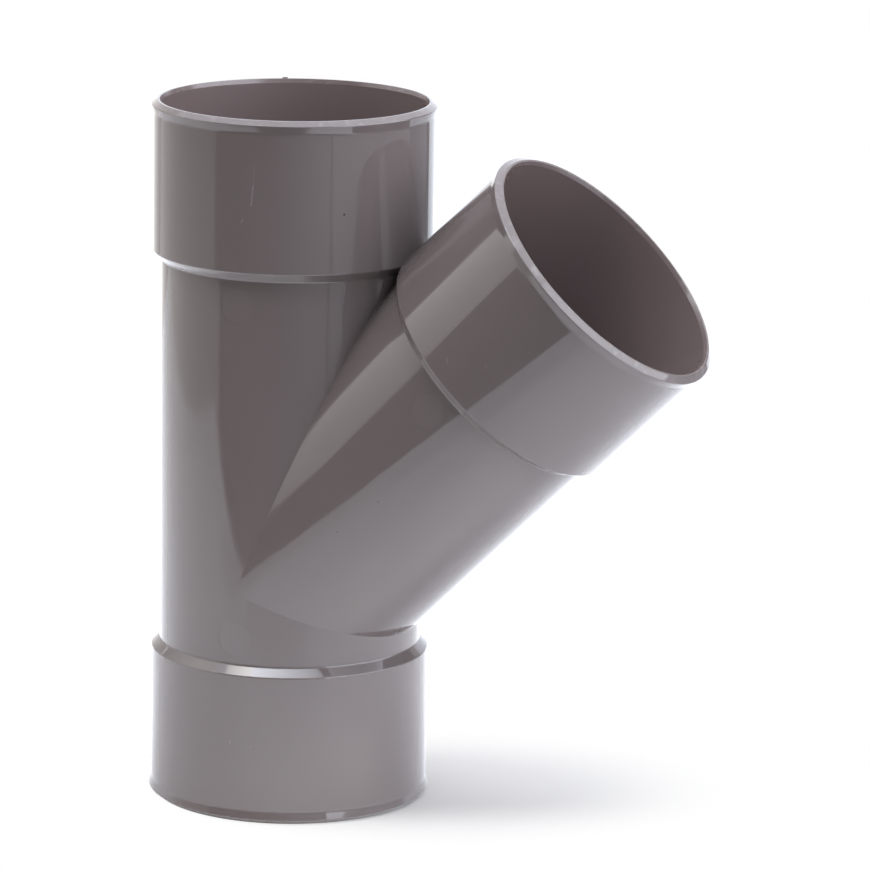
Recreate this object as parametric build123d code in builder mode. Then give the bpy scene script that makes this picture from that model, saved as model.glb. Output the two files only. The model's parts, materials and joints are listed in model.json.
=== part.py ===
# Lateral wye fitting: a 45 degree branch on a straight run, moulded in one piece.
# Each of its three arms ends in a socket that a pipe is cemented into.
# Z runs up the straight run and the branch leans towards +X, in millimetres.
# The origin is the centre of the lower mouth, on the plane that the fitting stands on.
import os
from math import cos, radians, sin

from build123d import *

# Pipe and socket
pipe_diameter = 110.0  # outside diameter of the pipe
socket_clearance = 0.2  # radial room for the cement film
socket_depth = 61.0  # from the mouth to the pipe stop
socket_wall = 3.0
stop_width = 3.7  # shoulder between the socket's bore and the waterway
stop_chamfer = 0.8  # on the inner edge of the pipe stop

# Body
body_wall = 3.2
branch_angle = 45.0

# Laying lengths, from the crossing of the axes to each pipe stop
lower_length = 36.1
upper_length = 136.5
branch_length = 136.5

# Collar, the thicker outside of a socket
collar_overrun = 1.8  # how far the collar reaches past the pipe stop
step_height = 3.6  # cone between the collar and the body

# Mouth
lead_in_depth = 1.8
lead_in_width = 0.5
land_width = 0.9  # flat ring on the end of the mouth
lip_drop = 1.9  # from the land back to the widest edge of the lip
lip_overhang = 0.95  # how far the lip stands out past the collar
lip_round = 0.4
flare_height = 3.5  # cone between the lip and the collar

# Ejector marks, one shallow disc on the front of each arm
mark_diameter = 14.4
mark_depth = 0.12
mark_gap = 10.8  # from the foot of the collar's step to the middle of the mark

# Gate stub on the upper mouth, left where the moulding was cut from its sprue
gate_angle = 119.0
gate_width = 2.2
gate_height = 0.5
gate_draft = 10.0
gate_margin = 0.15  # of the land, left on each side of the stub

# Worked out from the sizes above
bore_radius = pipe_diameter / 2 + socket_clearance
collar_radius = bore_radius + socket_wall
waterway_radius = bore_radius - stop_width
body_radius = waterway_radius + body_wall
lip_radius = collar_radius + lip_overhang
land_inner_radius = bore_radius + lead_in_width
land_outer_radius = land_inner_radius + land_width
gate_thickness = land_width - 2 * gate_margin
collar_length = socket_depth + collar_overrun

lower_reach = lower_length + socket_depth
upper_reach = upper_length + socket_depth
branch_reach = branch_length + socket_depth
total_height = lower_reach + upper_reach

# Each plane holds an arm's axis as its Y, and faces the front of the fitting
crossing = Vector(0, 0, lower_reach)
tilt = radians(branch_angle)
run_plane = Plane(origin=crossing, x_dir=(1, 0, 0), z_dir=(0, -1, 0))
branch_plane = Plane(origin=crossing, x_dir=(cos(tilt), 0, -sin(tilt)), z_dir=(0, -1, 0))


def socket_outside(mouth, inward):
    """Corners of a socket's outside from the mouth to the body: radius, station and round."""
    return [
        (land_outer_radius, mouth, 0),
        (lip_radius, mouth + inward * lip_drop, lip_round),
        (collar_radius, mouth + inward * (lip_drop + flare_height), 0),
        (collar_radius, mouth + inward * collar_length, 0),
        (body_radius, mouth + inward * (collar_length + step_height), 0),
    ]


def socket_inside(mouth, inward):
    """Corners of a socket's inside from the mouth to the waterway: radius, station and round."""
    return [
        (land_inner_radius, mouth, 0),
        (bore_radius, mouth + inward * lead_in_depth, 0),
        (bore_radius, mouth + inward * socket_depth, 0),
        (waterway_radius + stop_chamfer, mouth + inward * socket_depth, 0),
        (waterway_radius, mouth + inward * (socket_depth + stop_chamfer), 0),
    ]


def run_corners(socket):
    """Corners up the straight run, from the lower mouth to the upper one."""
    return socket(-lower_reach, 1) + socket(upper_reach, -1)[::-1]


def branch_corners(socket, radius):
    """Corners along the branch, from the crossing of the axes to the mouth."""
    return [(radius, 0, 0)] + socket(branch_reach, -1)[::-1]


def half_section(plane, corners):
    """The face between an arm's axis and the corners of its wall."""
    with BuildSketch(plane) as section:
        with BuildLine():
            start = (0, corners[0][1])
            end = (0, corners[-1][1])
            outline = [(radius, station) for radius, station, _ in corners]
            rounds = [corner_round for _, _, corner_round in corners]
            FilletPolyline(start, *outline, end, radius=[0, *rounds, 0], close=True)
        make_face()
    return section.sketch


def ejector_mark(plane, mouth, inward):
    """A thin disc that follows the body's wall, on the side that the plane faces."""
    middle = mouth + inward * (collar_length + step_height + mark_gap)
    with BuildPart() as mark:
        with BuildSketch(plane) as ring:
            with Locations((body_radius - mark_depth, middle)):
                Rectangle(body_wall, mark_diameter + body_wall, align=(Align.MIN, Align.CENTER))
        revolve(axis=Axis(plane.origin, plane.y_dir))
        with BuildSketch(plane) as pin:
            with Locations((0, middle)):
                Circle(mark_diameter / 2)
        extrude(amount=2 * body_radius, mode=Mode.INTERSECT)
    return mark.part


marks = [
    ejector_mark(run_plane, -lower_reach, 1),
    ejector_mark(run_plane, upper_reach, -1),
    ejector_mark(branch_plane, branch_reach, -1),
]

with BuildPart() as wye_body:
    run_axis = Axis(crossing, run_plane.y_dir)
    branch_axis = Axis(crossing, branch_plane.y_dir)

    # Outside of the run and the branch
    revolve(half_section(run_plane, run_corners(socket_outside)), run_axis)
    revolve(half_section(branch_plane, branch_corners(socket_outside, body_radius)), branch_axis)

    # Waterways, pipe stops, socket bores and lead-ins
    revolve(half_section(run_plane, run_corners(socket_inside)), run_axis, mode=Mode.SUBTRACT)
    revolve(
        half_section(branch_plane, branch_corners(socket_inside, waterway_radius)),
        branch_axis,
        mode=Mode.SUBTRACT,
    )

    # Ejector marks on the front
    add(marks, mode=Mode.SUBTRACT)

    # Gate stub on the land of the upper mouth
    with BuildSketch(Plane.XY.offset(total_height)):
        with PolarLocations((land_inner_radius + land_outer_radius) / 2, 1, start_angle=gate_angle):
            SlotOverall(gate_width, gate_thickness, rotation=90)
    extrude(amount=gate_height, taper=gate_draft)

wye_body.part.label = "wye_body"

os.makedirs("parts", exist_ok=True)
export_step(wye_body.part, "parts/wye_body.step")
print("solids", len(wye_body.part.solids()), "height", round(total_height, 2))
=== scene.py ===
import json
from math import atan2, cos, pi, radians, sin, tan

import bmesh
import bpy
from mathutils import Matrix, Vector


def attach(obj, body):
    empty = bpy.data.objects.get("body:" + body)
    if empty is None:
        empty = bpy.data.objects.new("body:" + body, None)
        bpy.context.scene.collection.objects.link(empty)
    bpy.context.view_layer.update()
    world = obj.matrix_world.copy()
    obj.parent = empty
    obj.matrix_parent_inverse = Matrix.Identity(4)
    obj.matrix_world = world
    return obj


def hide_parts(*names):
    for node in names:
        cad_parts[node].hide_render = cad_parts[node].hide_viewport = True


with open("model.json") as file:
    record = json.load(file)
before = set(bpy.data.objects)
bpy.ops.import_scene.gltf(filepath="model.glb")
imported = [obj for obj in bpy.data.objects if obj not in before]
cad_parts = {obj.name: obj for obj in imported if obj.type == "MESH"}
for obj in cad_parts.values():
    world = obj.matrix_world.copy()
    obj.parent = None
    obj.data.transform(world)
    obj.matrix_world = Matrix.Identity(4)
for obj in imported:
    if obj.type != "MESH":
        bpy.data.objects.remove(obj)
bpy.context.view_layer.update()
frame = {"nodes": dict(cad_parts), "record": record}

mm = 0.001
mounts = {mount["name"]: mount for mount in frame["record"]["mounts"]}
print("frame loaded:", ", ".join(frame["nodes"]))


# Shaders: a value in a node tree, which arithmetic adds Math nodes to

class Shade:
    def __init__(self, tree, socket=None):
        self.tree = tree
        self.socket = socket

    def node(self, kind, settings, values, output=0):
        # settings are set before the values and links go in
        made = self.tree.nodes.new(kind)
        for name, value in settings.items():
            setattr(made, name, value)
        for name, value in values.items():
            if isinstance(value, Shade):
                self.tree.links.new(value.socket, made.inputs[name])
            else:
                made.inputs[name].default_value = value
        return Shade(self.tree, made.outputs[output] if len(made.outputs) else None)

    def maths(self, operation, *values):
        return self.node("ShaderNodeMath", {"operation": operation}, dict(enumerate(values)))

    def __add__(self, other):
        return self.maths("ADD", self, other)

    def __sub__(self, other):
        return self.maths("SUBTRACT", self, other)

    def __mul__(self, other):
        return self.maths("MULTIPLY", self, other)

    def __truediv__(self, other):
        return self.maths("DIVIDE", self, other)

    def __radd__(self, other):
        return self.maths("ADD", other, self)

    def __rsub__(self, other):
        return self.maths("SUBTRACT", other, self)

    def __rmul__(self, other):
        return self.maths("MULTIPLY", other, self)

    def __rtruediv__(self, other):
        return self.maths("DIVIDE", other, self)

    def fade(self, start, end):
        # 0 at the start, 1 at the end, smooth between
        values = {"Value": self, "From Min": start, "From Max": end}
        return self.node("ShaderNodeMapRange", {"interpolation_type": "SMOOTHSTEP"}, values)

    def blend(self, start, end):
        # a colour between two
        return self.node("ShaderNodeMix", {"data_type": "RGBA"}, {0: self, 6: start, 7: end}, 2)

    def parts(self):
        split = self.node("ShaderNodeSeparateXYZ", {}, {0: self}).socket.node
        return [Shade(self.tree, socket) for socket in split.outputs]


def emptyTree(owner):
    owner.use_nodes = True
    owner.node_tree.nodes.clear()
    return Shade(owner.node_tree)


# Shell: the whole fitting, spun and joined in one piece

shell = {
    # millimetres; places along an arm are measured inwards from its mouth
    "segments": 256,  # round each arm, a multiple of four
    "socketDepth": 61.0,
    "socketWall": 3.0,
    "stopWidth": 3.7,
    "stopChamfer": 0.8,
    "bodyWall": 3.2,
    "collarOverrun": 1.8,
    "stepHeight": 3.6,
    "leadInDepth": 1.8,
    "leadInWidth": 0.5,
    "landWidth": 0.9,
    "lipDrop": 1.9,
    "lipOverhang": 0.92,
    "flareHeight": 3.5,
    "rounding": {"land": 0.18, "lip": 0.35, "flare": 0.8, "collar": 0.35, "foot": 0.5, "stop": 0.15},
    "roundSteps": 4,
    "roundProfile": 0.5,  # an arc of a circle
    "creaseRound": 0.7,
    "creaseSteps": 4,
    "creaseFrom": 4.0,  # degrees; flatter than this, the two arms run into each other
    "smoothBelow": 40.0,
    "mergeDistance": 0.01,
    "cutDistance": 0.0001,  # how close to a cutting plane counts as on it
    "branchRoot": 0.3,  # how far behind the crossing the branch starts, in bore radii
    "markRadius": 7.2,  # ejector marks, one on the front of each arm
    "markDepth": 0.12,
    "markGap": 10.8,  # from the step's foot to the mark's middle
    "markSteps": 96,
    "pinReach": 2.0,  # how far the tool that cuts a mark stands out of the body
    "gateAngle": 119.0,  # stub left on the upper mouth's land
    "gateSize": (0.6, 2.2, 0.48),
    "gateRound": 0.28,
    "gateSteps": 4,
    "gateRoot": 0.3,
}


def mouthOf(name):
    # the mount's middle lies half its length and the lead-in back from the mouth
    mount = mounts[name]
    reach = mount["dims"]["length_mm"] / 2 + shell["leadInDepth"]
    return Vector(mount["pos_m"]) + Vector(mount["axis"]) * reach * mm


boreRadius = mounts["upper_socket"]["dims"]["r_mm"]
branchAxis = Vector(mounts["branch_socket"]["axis"]).normalized()
branchTilt = atan2(branchAxis.x, branchAxis.z)
branchMouth = mouthOf("branch_socket")
crossing = Vector((0, 0, branchMouth.z - branchMouth.x / tan(branchTilt)))
runHeight = mouthOf("upper_socket").z
branchReach = (branchMouth - crossing).length


def socketOutline():
    # radius, distance in from the mouth and kind of round, from the body round the mouth to the waterway
    waterway = boreRadius - shell["stopWidth"]
    body = waterway + shell["bodyWall"]
    collar = boreRadius + shell["socketWall"]
    landInner = boreRadius + shell["leadInWidth"]
    step = shell["socketDepth"] + shell["collarOverrun"]
    return [
        (body, step + shell["stepHeight"], "foot"),
        (collar, step, "collar"),
        (collar, shell["lipDrop"] + shell["flareHeight"], "flare"),
        (collar + shell["lipOverhang"], shell["lipDrop"], "lip"),
        (landInner + shell["landWidth"], 0, "land"),
        (landInner, 0, "land"),
        (boreRadius, shell["leadInDepth"], "stop"),
        (boreRadius, shell["socketDepth"], None),
        (waterway + shell["stopChamfer"], shell["socketDepth"], "stop"),
        (waterway, shell["socketDepth"] + shell["stopChamfer"], "stop"),
    ]


def drawOutline(bm, corners, closed):
    # corners are radius, height and kind of round; the outline stands in the XZ plane
    verts = [bm.verts.new((radius * mm, 0, height * mm)) for radius, height, kind in corners]
    pairs = list(zip(verts, verts[1:]))
    if closed:
        pairs.append((verts[-1], verts[0]))
    for pair in pairs:
        bm.edges.new(pair)
    for kind, size in shell["rounding"].items():
        bmesh.ops.bevel(bm, geom=[vert for vert, corner in zip(verts, corners) if corner[2] == kind],
                        offset=size * mm, segments=shell["roundSteps"],
                        profile=shell["roundProfile"], material=-1, affect="VERTICES")


def spinArm(corners, closed):
    bm = bmesh.new()
    drawOutline(bm, corners, closed)
    bmesh.ops.spin(bm, geom=bm.verts[:] + bm.edges[:], cent=(0, 0, 0), axis=(0, 0, 1), dvec=(0, 0, 0),
                   angle=2 * pi, steps=shell["segments"], use_merge=True, use_duplicate=False)
    bmesh.ops.recalc_face_normals(bm, faces=bm.faces[:])
    return bm


def intoMesh(bm, name):
    mesh = bpy.data.meshes.new(name)
    bm.to_mesh(mesh)
    bm.free()
    piece = bpy.data.objects.new(name, mesh)
    bpy.context.scene.collection.objects.link(piece)
    return piece


def cutAt(bm, tilt, keep):
    # the plane holds the Y axis and leans from Z towards X by tilt; only faces on the branch's side are cut
    faces = [face for face in bm.faces if face.calc_center_median().x > 0]
    parts = {part for face in faces for part in [face, *face.edges, *face.verts]}
    bmesh.ops.bisect_plane(bm, geom=list(parts), dist=shell["cutDistance"] * mm, plane_co=crossing,
                           plane_no=(cos(tilt), 0, -sin(tilt)), clear_outer=keep == "run side",
                           clear_inner=keep == "branch side")


def sideOf(point, tilt):
    # how far a point lies past a cutting plane, towards the branch
    across = point - crossing
    return across.x * cos(tilt) - across.z * sin(tilt)


def makeShell():
    crownTilt = branchTilt / 2  # plane that halves the notch above the branch
    heelTilt = crownTilt + pi / 2  # plane that halves the corner below it
    socket = socketOutline()

    top = runHeight / mm
    upper = [(radius, top - depth, kind) for radius, depth, kind in socket]
    run = spinArm(upper + socket[::-1], True)
    cutAt(run, crownTilt, "both sides")
    cutAt(run, heelTilt, "both sides")
    window = [face for face in run.faces if sideOf(face.calc_center_median(), crownTilt) > 0
              and sideOf(face.calc_center_median(), heelTilt) < 0]
    bmesh.ops.delete(run, geom=window, context="FACES")

    reach = branchReach / mm
    start = -shell["branchRoot"] * boreRadius
    branchCorners = [(radius, reach - depth, kind) for radius, depth, kind in socket]
    branch = spinArm([(socket[0][0], start, None)] + branchCorners + [(socket[-1][0], start, None)], False)
    bmesh.ops.transform(branch, matrix=Matrix.Translation(crossing) @ Matrix.Rotation(branchTilt, 4, "Y"),
                        verts=branch.verts[:])
    cutAt(branch, crownTilt, "branch side")
    cutAt(branch, heelTilt, "run side")
    branchMesh = bpy.data.meshes.new("branch")
    branch.to_mesh(branchMesh)
    branch.free()
    run.from_mesh(branchMesh)
    bpy.data.meshes.remove(branchMesh)
    bmesh.ops.remove_doubles(run, verts=run.verts[:], dist=shell["mergeDistance"] * mm)

    crease = [edge for edge in run.edges if edge.calc_face_angle(0) > radians(shell["creaseFrom"])
              and max(min(abs(sideOf(vert.co, tilt)) for tilt in (crownTilt, heelTilt))
                      for vert in edge.verts) < shell["mergeDistance"] * mm]
    bmesh.ops.bevel(run, geom=crease, offset=shell["creaseRound"] * mm, segments=shell["creaseSteps"],
                    profile=shell["roundProfile"], material=-1, affect="EDGES", clamp_overlap=True)
    bmesh.ops.recalc_face_normals(run, faces=run.faces[:])
    openEdges = sum(not edge.is_manifold for edge in run.edges)
    print("shell spun:", len(run.faces), "faces,", len(crease), "crease edges,", openEdges, "open edges")
    return intoMesh(run, "wye_shell")


def smoothShell(wye):
    bm = bmesh.new()
    bm.from_mesh(wye.data)
    for face in bm.faces:
        face.smooth = True
    for edge in bm.edges:
        edge.smooth = edge.calc_face_angle(0) < radians(shell["smoothBelow"])
    bm.to_mesh(wye.data)
    bm.free()
    finish = wye.modifiers.new("flat stretches lead", "WEIGHTED_NORMAL")
    finish.keep_sharp = True


def makePlug(radius, segments, low, high, name):
    # a closed round plug along Z
    bm = bmesh.new()
    bmesh.ops.create_cone(bm, cap_ends=True, segments=segments, radius1=radius * mm, radius2=radius * mm,
                          depth=(high - low) * mm, matrix=Matrix.Translation((0, 0, (low + high) / 2 * mm)))
    return intoMesh(bm, name)


def combine(target, tool, operation):
    # the tool is used up by it
    modifier = target.modifiers.new(operation, "BOOLEAN")
    modifier.operation = operation
    modifier.solver = "EXACT"
    modifier.object = tool
    shapes = bpy.context.evaluated_depsgraph_get()
    made = bpy.data.meshes.new_from_object(target.evaluated_get(shapes))
    old = target.data
    made.name = old.name
    target.modifiers.clear()
    target.data = made
    bpy.data.meshes.remove(old)
    bpy.data.objects.remove(tool)


def pressMarks(wye):
    # the floor of each mark follows the body's curve, a little below it
    body = boreRadius - shell["stopWidth"] + shell["bodyWall"]
    inward = shell["socketDepth"] + shell["collarOverrun"] + shell["stepHeight"] + shell["markGap"]
    run = Matrix.Identity(4)
    branch = Matrix.Translation(crossing) @ Matrix.Rotation(branchTilt, 4, "Y")
    places = [(run, inward), (run, runHeight / mm - inward), (branch, branchReach / mm - inward)]
    for arm, station in places:
        core = makePlug(body - shell["markDepth"], shell["segments"], station - 2 * shell["markRadius"],
                        station + 2 * shell["markRadius"], "core")
        core.data.transform(arm)
        pin = makePlug(shell["markRadius"], shell["markSteps"], body / 2, body + shell["pinReach"], "pin")
        pin.data.transform(arm @ Matrix.Translation((0, 0, station * mm)) @ Matrix.Rotation(pi / 2, 4, "X"))
        combine(pin, core, "DIFFERENCE")
        combine(wye, pin, "DIFFERENCE")


def addGate(wye):
    wide, long, tall = shell["gateSize"]
    land = boreRadius + shell["leadInWidth"] + shell["landWidth"] / 2
    bm = bmesh.new()
    bmesh.ops.create_cube(bm, size=1)
    bmesh.ops.scale(bm, vec=(wide * mm, long * mm, (tall + shell["gateRoot"]) * mm), verts=bm.verts[:])
    upright = [edge for edge in bm.edges if abs((edge.verts[0].co - edge.verts[1].co).z) > tall / 2 * mm]
    bmesh.ops.bevel(bm, geom=upright, offset=shell["gateRound"] * mm, segments=shell["gateSteps"],
                    profile=shell["roundProfile"], material=-1, affect="EDGES")
    stub = intoMesh(bm, "stub")
    stub.data.transform(Matrix.Rotation(radians(shell["gateAngle"]), 4, "Z") @ Matrix.Translation(
        (land * mm, 0, runHeight + (tall - shell["gateRoot"]) / 2 * mm)))
    combine(wye, stub, "UNION")


wye = makeShell()
pressMarks(wye)
addGate(wye)
smoothShell(wye)
print("marks and stub cut:", len(wye.data.polygons), "faces")
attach(wye, "root")
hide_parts("wye_body")


# Camera: where the fitting is looked at from

view = {
    "azimuth": 23.113,  # degrees round Z from the front
    "elevation": 12.784,
    "roll": 0.923,
    "distance": 2.13754,
    "target": (0.065295, 0, 0.159337),
    "lens": 213.87,
    "clipEnd": 100,
}


def makeCamera():
    turn, lift = radians(view["azimuth"]), radians(view["elevation"])
    back = Vector((sin(turn) * cos(lift), -cos(turn) * cos(lift), sin(lift)))
    data = bpy.data.cameras.new("camera")
    data.lens = view["lens"]
    data.clip_end = view["clipEnd"]
    camera = bpy.data.objects.new("camera", data)
    bpy.context.scene.collection.objects.link(camera)
    # a camera looks down its own -Z
    aim = back.to_track_quat("Z", "Y").to_matrix() @ Matrix.Rotation(radians(view["roll"]), 3, "Z")
    place = Vector(view["target"]) + back * view["distance"]
    camera.matrix_world = Matrix.LocRotScale(place, aim.to_quaternion(), None)
    bpy.context.scene.camera = camera


makeCamera()
print("camera placed")


# Plastic: glossy grey, a little uneven from moulding, scuffed by storage and handling

plastic = {
    "grey": (0.0985, 0.0798, 0.0765, 1),
    "flowGrey": (0.1025, 0.0838, 0.0805, 1),  # paler swirls of the melt
    # painted bounce light: a paler, warmer grey for the bores and the waterway, standing in for the warm
    # light that bounces round inside them
    "insideGrey": (0.115, 0.087, 0.084, 1),
    "scuffGrey": (0.30, 0.275, 0.28, 1),  # scraped or rubbed plastic
    "dirt": (0.02, 0.016, 0.016, 1),
    "gloss": 0.06,  # roughness of clean moulded skin
    "smudge": 0.03,  # added where hands and packing dulled it
    "insideDull": 0.14,
    "markDull": 0.06,
    "scuffDull": 0.4,
    "waveHeight": 0.05,  # millimetres, sink and waviness of the wall
    "peelHeight": 0.0012,  # millimetres, fine skin of the mould
    "scuffDepth": 0.01,
    "scratches": {
        # millimetres along the arm and degrees round it, at both ends; the width in millimetres; how pale
        "run": [
            ((276.6, -81.4), (268, -81.7), 0.5, 0.14),
            ((268, -81.7), (259.8, -82.5), 0.7, 0.35),
            ((254, -86), (252.6, -86.6), 0.7, 0.3),
            ((34.6, -89.6), (33.6, -90), 0.5, 0.25),
            ((33.2, -81.3), (32.6, -80.9), 0.5, 0.2),
        ],
        "branch": [
            ((142.2, -98.2), (143.2, -99.8), 0.6, 0.25),
            ((153.9, -86.1), (154.8, -86.9), 0.5, 0.2),
        ],
    },
    "specks": {
        # millimetres along the arm, degrees round it, and the radius in millimetres
        "run": [(256.4, -44.7, 0.55)],
        "branch": [(76.6, -76.2, 0.3), (53.8, -78.8, 0.3)],
    },
    # grain fields: their stretch along the arm, their grains per metre and their detail
    "flowField": (3, 24, 4.0),
    "flowFade": (0.35, 0.68),
    "smudgeField": (1.4, 38, 5.0),
    "smudgeFade": (0.42, 0.72),
    "waveField": (2.2, 42, 1.0),
    "peelField": (1, 900, 1.0),
    "hairField": (26, 900, 1.0),  # hairlines, and the patches that they lie in
    "hairFade": (0.76, 0.84),
    "hairPatchField": (1, 30, 2.0),
    "hairPatchFade": (0.52, 0.7),
    "hairPale": 0.12,
    "rubField": (1, 260, 3.0),  # rubbed edges
    "rubLip": (2.6, 1.2),  # millimetres from the mouth
    "rubLipFade": (0.52, 0.75),
    "rubLipPale": 0.16,
    "rubStep": (0.7, 0.2),  # millimetres from the collar's edge
    "rubStepFade": (0.56, 0.75),
    "rubStepPale": 0.2,
    "grainScale": 130,  # cells per metre of the thin scatter of dark grains
    "grainSize": (0.03, 0.015),
    "grainChance": (0.94, 0.97),
    "grainDark": 0.35,
    "collarFrom": (0.7, 1.2),  # millimetres past the bore, where a socket's outside begins
    "bodyFrom": (-1, -0.5),  # millimetres past the body, where the outside of both begins
    "boreUntil": (0.9, 0.3),  # millimetres past the bore, where the inside ends
    "waterwayUntil": (2, 1),
    "stopUntil": (1, 0),  # millimetres past the pipe stop, where the socket ends
    "markEdge": 0.1,
    "markPale": 0.02,
    "scuffPale": 0.8,
    "noMouth": 1000,  # millimetres; the branch has no lower mouth
}


class ArmPlace:
    # where a point of the shell lies on its own arm, in millimetres and degrees
    def __init__(self, tree):
        place = tree.node("ShaderNodeTexCoord", {}, {}, "Object")
        x, y, z = place.parts()
        rise = z - crossing.z
        crownTilt = branchTilt / 2
        pastCrown = x * cos(crownTilt) - rise * sin(crownTilt)
        pastHeel = x * sin(crownTilt) + rise * cos(crownTilt)
        pastCrown = tree.maths("GREATER_THAN", pastCrown, 0)
        self.onBranch = pastCrown * tree.maths("GREATER_THAN", pastHeel, 0)
        # the branch is stood upright about the crossing
        upright = tree.node("ShaderNodeVectorRotate", {"rotation_type": "Y_AXIS"},
                            {"Vector": place, "Center": crossing, "Angle": -branchTilt})
        ends = {0: self.onBranch, 4: place, 5: upright}
        self.place = tree.node("ShaderNodeMix", {"data_type": "VECTOR"}, ends, 1)
        self.x, self.y, height = self.place.parts()
        # along the arm, from the run's foot or from the crossing
        self.station = (height - self.onBranch * crossing.z) / mm
        self.radius = tree.maths("SQRT", self.x * self.x + self.y * self.y) / mm
        self.turn = tree.maths("ARCTAN2", self.y, self.x) * (180 / pi)
        top = (runHeight + self.onBranch * (branchReach - runHeight)) / mm - self.station
        foot = self.station + self.onBranch * plastic["noMouth"]
        self.inward = tree.maths("MINIMUM", top, foot)

    def only(self, arm):
        return self.onBranch if arm == "branch" else 1 - self.onBranch

    def line(self, start, end, radius):
        # distance in millimetres from a straight line laid on the wall
        arc = pi / 180 * radius
        along, across = end[0] - start[0], (end[1] - start[1]) * arc
        fromStart = self.station - start[0]
        aside = (self.turn - start[1]) * arc
        share = (fromStart * along + aside * across) / (along ** 2 + across ** 2)
        share = share.maths("MINIMUM", share.maths("MAXIMUM", share, 0), 1)
        offAlong = fromStart - share * along
        offAcross = aside - share * across
        return share.maths("SQRT", offAlong * offAlong + offAcross * offAcross)


def noise(tree, place, field):
    stretch, scale, detail = plastic[field]
    values = {0: place, 1: (1, 1, 1 / stretch)}
    stretched = tree.node("ShaderNodeVectorMath", {"operation": "MULTIPLY"}, values)
    return tree.node("ShaderNodeTexNoise", {}, {"Vector": stretched, "Scale": scale, "Detail": detail})


def scuffShade(tree, arm):
    # what is scraped pale: the listed scratches, hairlines, and the edges that touch other things
    collar = boreRadius + shell["socketWall"]
    outside = arm.radius.fade(*(boreRadius + gap for gap in plastic["collarFrom"]))
    scuffs = []
    for name, scratches in plastic["scratches"].items():
        for start, end, width, pale in scratches:
            line = arm.line(start, end, collar).fade(width / 2, width / 6)
            scuffs.append(line * arm.only(name) * outside * pale)
    hairs = noise(tree, arm.place, "hairField").fade(*plastic["hairFade"])
    hairPatch = noise(tree, arm.place, "hairPatchField").fade(*plastic["hairPatchFade"])
    scuffs.append(hairs * hairPatch * outside * plastic["hairPale"])
    rubs = noise(tree, arm.place, "rubField")
    lip = arm.inward.fade(*plastic["rubLip"])
    step = shell["socketDepth"] + shell["collarOverrun"]
    stepEdge = tree.maths("ABSOLUTE", arm.inward - step).fade(*plastic["rubStep"]) * outside
    scuffs.append(rubs.fade(*plastic["rubLipFade"]) * lip * plastic["rubLipPale"])
    scuffs.append(rubs.fade(*plastic["rubStepFade"]) * stepEdge * plastic["rubStepPale"])
    total = scuffs[0]
    for scuff in scuffs[1:]:
        total = tree.maths("MAXIMUM", total, scuff)
    return total


def speckShade(tree, arm):
    # dark grains baked into the skin: the listed ones and a thin scatter
    body = boreRadius - shell["stopWidth"] + shell["bodyWall"]
    outside = arm.radius.fade(*(body + gap for gap in plastic["bodyFrom"]))
    total = None
    for name, specks in plastic["specks"].items():
        for station, turn, size in specks:
            away = arm.line((station, turn), (station + size / 4, turn), body)
            speck = away.fade(size, size / 2) * arm.only(name) * outside
            total = tree.maths("MAXIMUM", total, speck) if total else speck
    cell = tree.node("ShaderNodeTexVoronoi", {}, {"Vector": arm.place, "Scale": plastic["grainScale"]})
    colour = Shade(tree.tree, cell.socket.node.outputs["Color"])
    chance = tree.node("ShaderNodeSeparateColor", {}, {0: colour})
    scatter = cell.fade(*plastic["grainSize"]) * chance.fade(*plastic["grainChance"])
    return tree.maths("MAXIMUM", total, scatter * plastic["grainDark"])


def markShade(tree, arm):
    # the ejector marks, on the front of each arm
    gap = shell["socketDepth"] + shell["collarOverrun"] + shell["stepHeight"] + shell["markGap"]
    along = arm.inward - gap
    across = arm.x / mm
    away = tree.maths("SQRT", along * along + across * across)
    front = arm.y.fade(0, -shell["markRadius"] * mm)
    edge = plastic["markEdge"]
    return away.fade(shell["markRadius"] + edge, shell["markRadius"] - edge) * front


def insideShade(tree, arm):
    # the bores of the sockets, and the waterway under the body
    waterway = boreRadius - shell["stopWidth"]
    socket = arm.inward.fade(*(shell["socketDepth"] + gap for gap in plastic["stopUntil"]))
    bore = arm.radius.fade(*(boreRadius + gap for gap in plastic["boreUntil"])) * socket
    drain = arm.radius.fade(*(waterway + gap for gap in plastic["waterwayUntil"]))
    return tree.maths("MAXIMUM", bore, drain)


def makePlastic():
    material = bpy.data.materials.new("grey_pvc")
    tree = emptyTree(material)
    arm = ArmPlace(tree)
    flow = noise(tree, arm.place, "flowField").fade(*plastic["flowFade"])
    smudges = noise(tree, arm.place, "smudgeField").fade(*plastic["smudgeFade"])
    scuffs = scuffShade(tree, arm)
    specks = speckShade(tree, arm)
    marks = markShade(tree, arm)
    inside = insideShade(tree, arm)

    colour = flow.blend(plastic["grey"], plastic["flowGrey"])
    # painted bounce light: the inside takes its paler, warmer grey
    colour = inside.blend(colour, plastic["insideGrey"])
    pale = marks * plastic["markPale"] + scuffs * plastic["scuffPale"]
    colour = pale.blend(colour, plastic["scuffGrey"])
    colour = specks.blend(colour, plastic["dirt"])
    dull = smudges * plastic["smudge"] + inside * plastic["insideDull"] + marks * plastic["markDull"]
    dull = dull + plastic["gloss"] + scuffs * plastic["scuffDull"]

    waves = noise(tree, arm.place, "waveField") * plastic["waveHeight"]
    peel = noise(tree, arm.place, "peelField") * plastic["peelHeight"]
    height = waves + peel - scuffs * plastic["scuffDepth"]
    skin = tree.node("ShaderNodeBump", {}, {"Strength": 1, "Distance": mm, "Height": height}, "Normal")
    values = {"Base Color": colour, "Roughness": dull, "Normal": skin}
    surface = tree.node("ShaderNodeBsdfPrincipled", {}, values)
    tree.node("ShaderNodeOutputMaterial", {}, {"Surface": surface})
    return material


wye.data.materials.append(makePlastic())
print("plastic mixed")


# Studio: a white table between soft panels, open and dark on the camera's side

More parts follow.
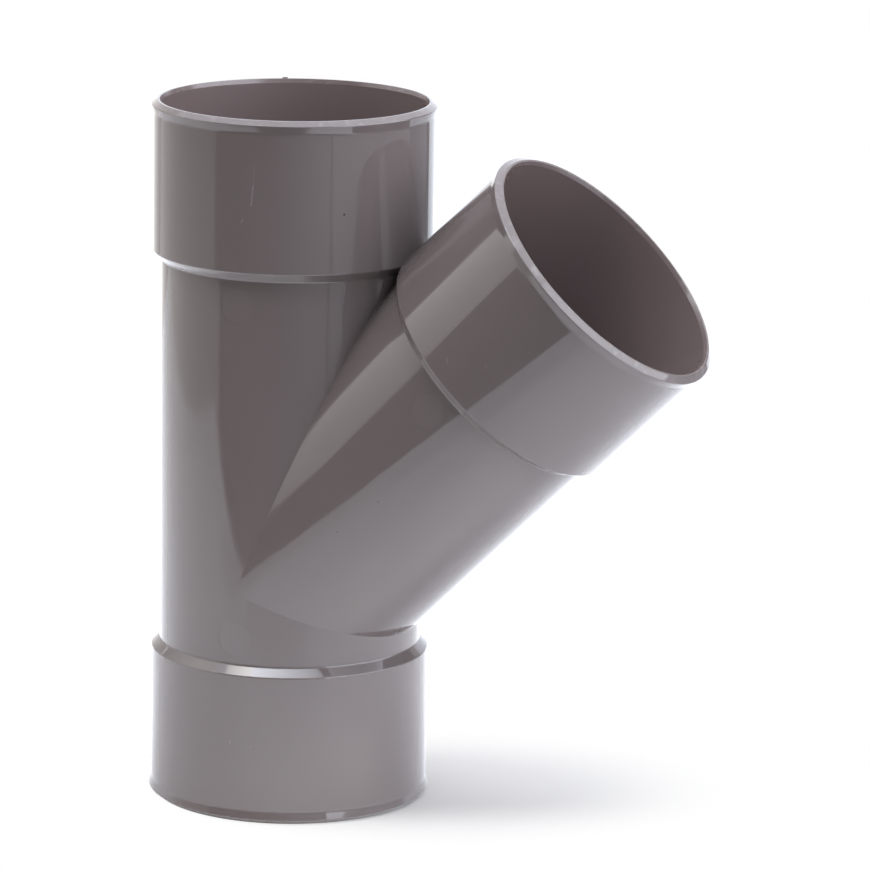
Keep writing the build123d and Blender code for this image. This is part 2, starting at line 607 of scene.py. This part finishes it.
studio = {
    # metres: towards the camera, to its right, and up from the table
    "tableBack": -1.6,
    "tableFront": 0.41,
    "tableTurn": -8.5,  # degrees; its front edge isn't quite square to the camera
    "tableDrop": 0.0003,
    "tableSides": 1.1,
    "tableWhite": (0.93, 0.93, 0.93, 1),
    "tableBlack": (0, 0, 0, 1),
    "tableShade": 0.25,  # painted shade: how much darker the cloth is painted before the fitting, where it lies out of the light
    "tableShadeFront": (0.26, 0.34),
    "tableShadeLeft": (-0.46, -0.34),
    "tableShadeRight": (0.18, 0.11),
    "tableLift": 0.55,  # painted light: how strongly the table glows by itself right before the foot
    "tableLiftNear": (0.02, 0.08),
    "tableLiftFar": (0.24, 0.12),
    "tableLiftLeft": (-0.14, 0.05),
    "tableLiftRight": (0.2, 0.11),
    "floorSize": 16.0,
    "floorTint": (0.52, 0.5, 0.475, 1),
    "floorMiddle": (0, 0.065, 0),  # of the shadow
    "floorStretch": (1.4, 1, 1),  # the shadow is wider than it is deep
    "floorFade": (0.047, 0.13),  # from the shadow's middle, where the floor turns plain white
    "fill": 0.06,  # the world's own light
    "behind": (0.1, -0.1),  # share of the way towards the camera, where gloss begins to see white
    "warm": (1, 0.985, 0.98, 1),
    "cool": (0.95, 1, 1.1, 1),
    # every panel: two opposite corners, then its glow at its two lower and its two upper corners,
    # the far or left one first; on a panel that lies flat, left counts as low
    "panels": {
        "left low": ((-0.9, -0.8, -0.3), (0.37, -0.8, 0.2), (1.9, 1.1, 1.35, 0.6)),
        "left far": ((-0.84, -0.8, 0.2), (-0.15, -0.8, 1.1), (0.6, 1.9, 0.8, 3.2)),
        "left seam": ((-0.9, -0.8, 0.2), (-0.84, -0.8, 1.1), (2.5, 2.5, 2.5, 2.5)),
        "left box": ((-0.15, -0.8, 0.2), (0.39, -0.8, 1.1), (1.95, 1.35, 3, 2)),
        "back left": ((-0.9, -0.8, 0), (-0.9, -0.1, 1.1), (0.9, 1.7, 0.9, 1.5)),
        "back right": ((-0.9, -0.1, 0), (-0.9, 0.7, 1.1), (1.7, 1.7, 1.5, 1.5)),
        "right far": ((-0.9, 0.9, 0.2), (-0.2, 0.9, 1.1), (0.05, 0.25, 0.05, 0.25)),
        "right behind": ((-0.9, 0.9, -0.4), (-0.25, 0.9, 0.2), (0.3, 0.1, 0.6, 0.35)),
        "right low": ((-0.25, 0.9, -0.4), (1.5, 0.9, 0.2), (0.4, 0.5, 0.8, 0.85)),
        "right back": ((-0.2, 0.9, 0.2), (0.5, 0.9, 1.1), (4.1, 4.8, 5.1, 5.8)),
        "right front": ((0.5, 0.9, 0.2), (1.5, 0.9, 1.1), (5.1, 4.6, 5.6, 5)),
        "key": ((0.55, 0.9, 1.1), (1.4, 0.9, 1.8), (5, 5, 5, 5)),
        "top": ((-0.9, -0.8, 1.1), (0.45, 0.9, 1.1), (1.6, 3.6, 1.6, 3.6)),
        "overhead left": ((0.12, -0.78, 1.08), (0.42, -0.4, 1.08), (4.5, 4.5, 14, 14)),
        "overhead": ((0.12, -0.4, 1.08), (0.42, 0.3, 1.08), (14, 14, 4, 4)),
        "strip": ((-0.1, 0.41, 1.08), (0.35, 0.53, 1.08), (7, 7, 7, 7)),
        "front high": ((1.5, -0.8, 1.1), (1.5, 0.9, 1.8), (1, 1.4, 1.3, 1.6)),
        "front": ((1.6, -0.5, -0.5), (1.6, 0.9, 1.1), (0.02, 0.65, 0.02, 0.6)),
    },
}
eye = bpy.context.scene.camera.location
forward = Vector((eye.x, eye.y, 0)).normalized()
rightward = forward.cross(Vector((0, 0, -1)))
studioAxes = [forward, rightward, Vector((0, 0, 1))]


def inStudio(place):
    return sum((axis * share for axis, share in zip(studioAxes, place)), Vector())


def makeSheet(name, low, high):
    # a flat rectangle between two corners; its own coordinates run from -0.5 to 0.5
    size = [end - start for start, end in zip(low, high)]
    across, along = [axis for axis in range(3) if size[axis]]
    bm = bmesh.new()
    bmesh.ops.create_grid(bm, x_segments=1, y_segments=1, size=0.5)
    sheet = intoMesh(bm, name)
    middle = inStudio([(start + end) / 2 for start, end in zip(low, high)])
    sides = [studioAxes[across] * size[across], studioAxes[along] * size[along]]
    turn = Matrix((*sides, sides[0].cross(sides[1]).normalized())).transposed().to_4x4()
    sheet.matrix_world = Matrix.Translation(middle) @ turn
    return sheet


def hideFrom(sheet, *rays):
    for ray in rays:
        setattr(sheet, "visible_" + ray, False)


def glowShade(tree, glow):
    # the corners' glow, blended over the sheet
    place = tree.node("ShaderNodeTexCoord", {}, {}, "Object").parts()
    across, along = place[0] + 0.5, place[1] + 0.5
    lower = across * (glow[1] - glow[0]) + glow[0]
    upper = across * (glow[3] - glow[2]) + glow[2]
    return (upper - lower) * along + lower


def makePanels():
    for name, (low, high, glow) in studio["panels"].items():
        sheet = makeSheet(name, low, high)
        hideFrom(sheet, "camera")
        material = bpy.data.materials.new(name)
        tree = emptyTree(material)
        tint = studio["warm"] if "left" in name else studio["cool"]
        values = {"Color": tint, "Strength": glowShade(tree, glow)}
        light = tree.node("ShaderNodeEmission", {}, values)
        tree.node("ShaderNodeOutputMaterial", {}, {"Surface": light})
        sheet.data.materials.append(material)


def makeTable():
    # light and reflections meet a table that ends before the camera
    sides = studio["tableSides"]
    drop = -studio["tableDrop"]
    table = makeSheet("table", (studio["tableBack"], -sides, drop), (studio["tableFront"], sides, drop))
    table.matrix_world = Matrix.Rotation(radians(studio["tableTurn"]), 4, "Z") @ table.matrix_world
    hideFrom(table, "camera")
    material = bpy.data.materials.new("table")
    tree = emptyTree(material)
    place = tree.node("ShaderNodeTexCoord", {}, {}, "Object").parts()
    ahead = (place[0] + 0.5) * (studio["tableFront"] - studio["tableBack"]) + studio["tableBack"]
    aside = place[1] * (2 * sides)
    # painted shade: the cloth is darkened towards black in a patch before the fitting
    shade = ahead.fade(*studio["tableShadeFront"]) * aside.fade(*studio["tableShadeLeft"])
    shade = shade * aside.fade(*studio["tableShadeRight"]) * studio["tableShade"]
    colour = shade.blend(studio["tableWhite"], studio["tableBlack"])
    cloth = tree.node("ShaderNodeBsdfDiffuse", {}, {"Color": colour})
    # painted light: a patch of the table right before the foot glows by itself
    lift = ahead.fade(*studio["tableLiftNear"]) * ahead.fade(*studio["tableLiftFar"])
    lift = lift * aside.fade(*studio["tableLiftLeft"]) * aside.fade(*studio["tableLiftRight"])
    lift = lift * studio["tableLift"]
    glow = tree.node("ShaderNodeEmission", {}, {"Strength": lift})
    lit = tree.node("ShaderNodeAddShader", {}, {0: cloth, 1: glow})
    tree.node("ShaderNodeOutputMaterial", {}, {"Surface": lit})
    table.data.materials.append(material)

    # the camera sees a floor that runs on, white but for the fitting's shadow
    half = studio["floorSize"] / 2
    floor = makeSheet("floor", (-half, -half, 0), (half, half, 0))
    hideFrom(floor, "diffuse", "glossy", "transmission", "shadow")
    material = bpy.data.materials.new("floor")
    tree = emptyTree(material)
    start, end = (reach / studio["floorSize"] for reach in studio["floorFade"])
    middle = [place / studio["floorSize"] for place in studio["floorMiddle"]]
    place = tree.node("ShaderNodeTexCoord", {}, {}, "Object")
    away = tree.node("ShaderNodeVectorMath", {"operation": "SUBTRACT"}, {0: place, 1: middle})
    values = {0: away, 1: studio["floorStretch"]}
    away = tree.node("ShaderNodeVectorMath", {"operation": "MULTIPLY"}, values)
    reach = tree.node("ShaderNodeVectorMath", {"operation": "LENGTH"}, {0: away}, "Value")
    cloth = tree.node("ShaderNodeBsdfDiffuse", {}, {"Color": studio["floorTint"]})
    plain = tree.node("ShaderNodeEmission", {}, {})
    far = tree.node("ShaderNodeMixShader", {}, {0: reach.fade(start, end), 1: cloth, 2: plain})
    tree.node("ShaderNodeOutputMaterial", {}, {"Surface": far})
    floor.data.materials.append(material)


def makeWorld():
    # white behind the fitting, also in its gloss; dark towards the camera
    world = bpy.data.worlds.new("studio")
    bpy.context.scene.world = world
    tree = emptyTree(world)
    way = tree.node("ShaderNodeTexCoord", {}, {}, "Generated")
    ahead = tree.node("ShaderNodeVectorMath", {"operation": "DOT_PRODUCT"}, {0: way, 1: forward}, "Value")
    rays = tree.node("ShaderNodeLightPath", {}, {}).socket.node.outputs
    camera, glossy, clear = [Shade(world.node_tree, rays[f"Is {kind} Ray"]) for kind in
                             ("Camera", "Glossy", "Transmission")]
    white = camera.maths("MINIMUM", camera + (glossy + clear) * ahead.fade(*studio["behind"]), 1)
    strength = white * (1 - studio["fill"]) + studio["fill"]
    light = tree.node("ShaderNodeBackground", {}, {"Strength": strength})
    tree.node("ShaderNodeOutputWorld", {}, {"Surface": light})


makePanels()
makeTable()
makeWorld()
bpy.context.scene.view_settings.view_transform = "Standard"
print("studio lit")
